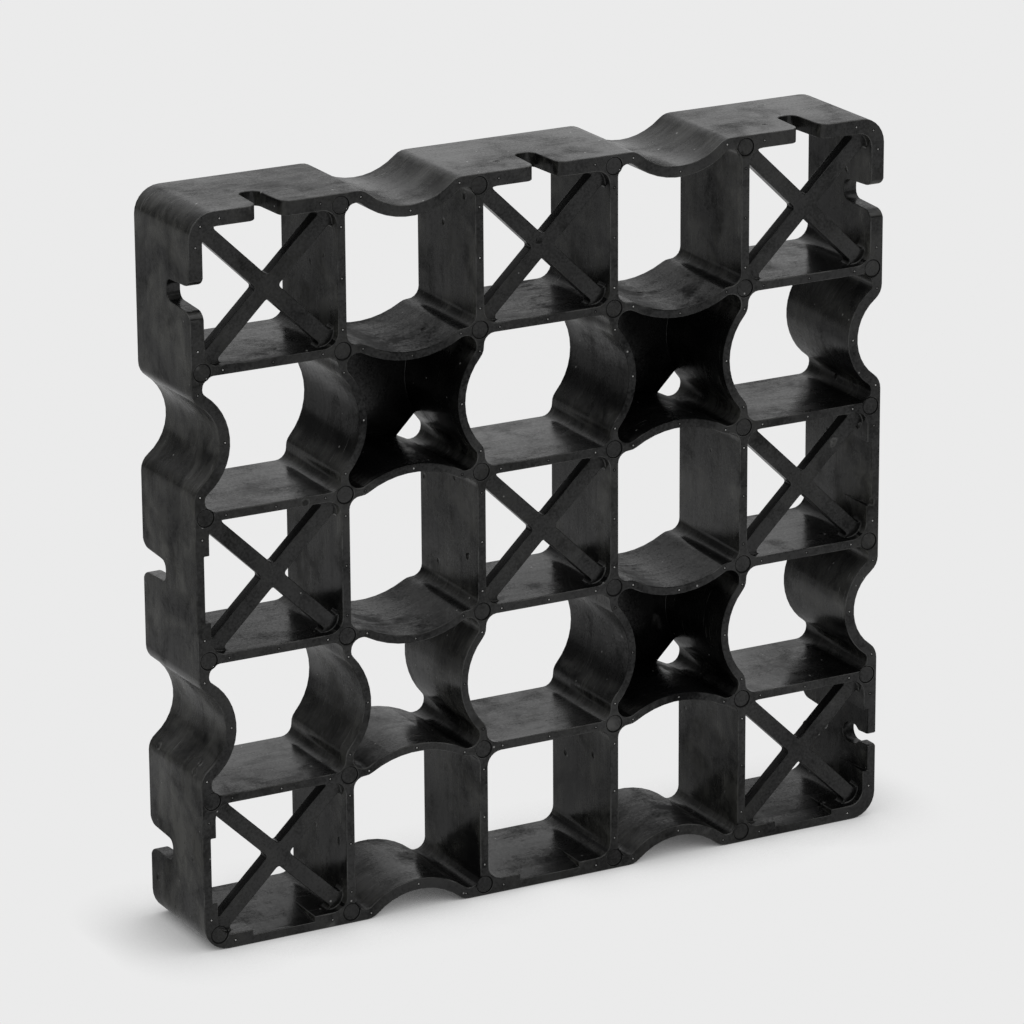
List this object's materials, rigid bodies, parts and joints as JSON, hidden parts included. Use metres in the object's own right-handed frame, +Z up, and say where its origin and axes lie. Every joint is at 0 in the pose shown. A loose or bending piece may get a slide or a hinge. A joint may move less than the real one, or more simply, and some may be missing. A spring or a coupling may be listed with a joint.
{
  "type": "ground reinforcement grid",
  "caption": "Nearly square moulded plastic panel of straight and S-curved cell walls with cross bars, floored star cells and rim slots, laid in rows to stabilise ground and let it drain.",
  "frame": {"origin": "centre of the lower edge's face, halfway through the depth", "axes": "+X to the right along the lower edge, +Y from the front face to the back face, +Z up"},
  "size_m": [0.33, 0.052, 0.32],
  "materials": {
    "black_plastic": "satin, with faint flow lines and scuffs"
  },
  "bodies": {
    "root": {"grid": "black_plastic"}
  },
  "joints": []
}
